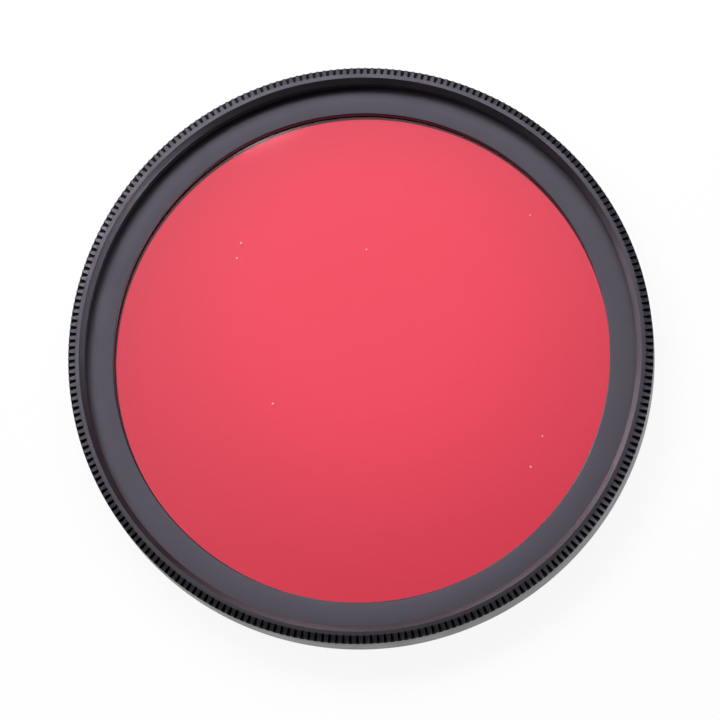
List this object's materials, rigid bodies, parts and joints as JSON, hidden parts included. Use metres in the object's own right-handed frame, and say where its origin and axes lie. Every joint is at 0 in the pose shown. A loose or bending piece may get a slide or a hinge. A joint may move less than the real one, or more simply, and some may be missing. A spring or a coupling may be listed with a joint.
{
  "type": "colour lens filter",
  "caption": "Round screw-in colour filter: red glass disc in a thin black mount with a knurled front edge, female thread in front and male thread behind.",
  "frame": {"origin": "on the filter's axis, in the plane of the male thread's rear end, which it stands on", "axes": "+Z along the optical axis, out of the front (female) side; +X and +Y are any two directions across it, and the spanner slots of the retaining ring lie along X"},
  "size_m": [0.0608, 0.0608, 0.0071],
  "materials": {
    "black_anodised": "black anodised, satin, turned",
    "red_glass": "polished, dyed red in the mass",
    "retainer_black": "black anodised, matte"
  },
  "bodies": {
    "root": {"frame_ring": "black_anodised", "filter_glass": "red_glass", "retaining_ring": "retainer_black"}
  },
  "joints": []
}
